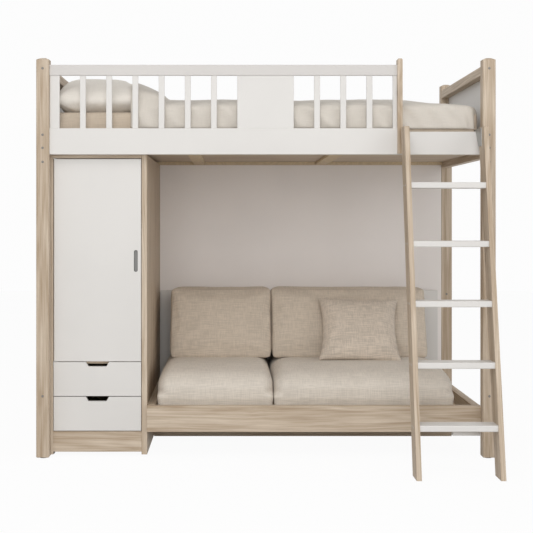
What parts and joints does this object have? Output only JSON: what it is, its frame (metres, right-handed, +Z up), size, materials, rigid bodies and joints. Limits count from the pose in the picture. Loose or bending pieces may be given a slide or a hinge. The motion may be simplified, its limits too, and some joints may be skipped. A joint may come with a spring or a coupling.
{
  "type": "loft bed",
  "caption": "Loft bed on square oak posts with a white slatted guard, a narrow wardrobe with door and drawers, a low sofa underneath, bedding, and a leaning ladder.",
  "frame": {"origin": "on the floor, under the middle of the whole footprint, ladder included", "axes": "+X to the right along the bed seen from the front, +Y from the front to the back, +Z up"},
  "size_m": [2.032, 1.539, 1.773],
  "materials": {
    "oak": "matt pale oak",
    "white_board": "satin white lacquer on board",
    "back_white": "matt off-white board",
    "slat_wood": "bare softwood",
    "steel": "zinc-plated steel",
    "cap_grey": "grey plastic",
    "grip_grey": "satin",
    "glide_black": "black plastic",
    "seat_fabric": "woven linen",
    "back_fabric": "woven linen",
    "throw_fabric": "coarse woven linen",
    "mattress_fabric": "woven ticking",
    "duvet_fabric": "washed cotton",
    "pillow_fabric": "washed cotton"
  },
  "bodies": {
    "frame": {"post_front_left": "oak", "post_front_right": "oak", "post_back_left": "oak", "post_back_right": "oak", "bolt_caps": "cap_grey", "side_rail_front": "white_board", "side_rail_back": "oak", "end_bottom_rail_left": "oak", "end_bottom_rail_right": "oak", "end_top_rail_left": "oak", "end_top_rail_right": "oak", "end_panels": "white_board", "deck_supports": "slat_wood", "deck_panels": "oak", "guard_top_rail": "white_board", "guard_bottom_board": "white_board", "guard_slats": "white_board", "guard_centre_panel": "white_board", "guard_entry_post": "oak", "wardrobe_side_left": "oak", "wardrobe_side_right": "oak", "wardrobe_top": "oak", "wardrobe_bottom": "oak", "wardrobe_shelves": "oak", "wardrobe_plinth": "oak", "wardrobe_back": "back_white", "floor_glides": "glide_black", "hanging_rail": "steel", "door_pivot_brackets": "steel", "wardrobe_runners": "steel", "back_panel": "back_white", "sofa_rail_front": "oak", "sofa_rail_back": "oak", "sofa_rails_ends": "oak", "sofa_ledgers": "slat_wood", "sofa_centre_support": "oak", "sofa_corner_block": "white_board", "sofa_slats": "slat_wood", "sofa_back_board": "white_board", "seat_cushion_left": "seat_fabric", "seat_cushion_right": "seat_fabric", "back_cushion_left": "back_fabric", "back_cushion_right": "back_fabric", "throw_pillow": "throw_fabric", "mattress": "mattress_fabric", "bed_pillow": "pillow_fabric", "duvet": "duvet_fabric", "ladder_rail_left": "oak", "ladder_rail_right": "oak", "ladder_treads": "white_board", "ladder_hooks": "steel"},
    "door": {"wardrobe_door": "white_board", "door_pull": "grip_grey", "door_pivot_bushes": "cap_grey"},
    "upper_drawer": {"upper_drawer_front": "white_board", "upper_drawer_box": "slat_wood", "upper_drawer_runners": "steel"},
    "lower_drawer": {"lower_drawer_front": "white_board", "lower_drawer_box": "slat_wood", "lower_drawer_runners": "steel"}
  },
  "joints": [
    {"name": "door_hinge", "type": "hinge", "parent": "frame", "child": "door", "pos_m": [-0.9425, -0.2545, 0.42], "axis": [0, 0, -1], "range_deg": [0, 95]},
    {"name": "upper_drawer_slide", "type": "slide", "parent": "frame", "child": "upper_drawer", "axis": [0, -1, 0], "range_m": [0, 0.4]},
    {"name": "lower_drawer_slide", "type": "slide", "parent": "frame", "child": "lower_drawer", "axis": [0, -1, 0], "range_m": [0, 0.4]}
  ]
}
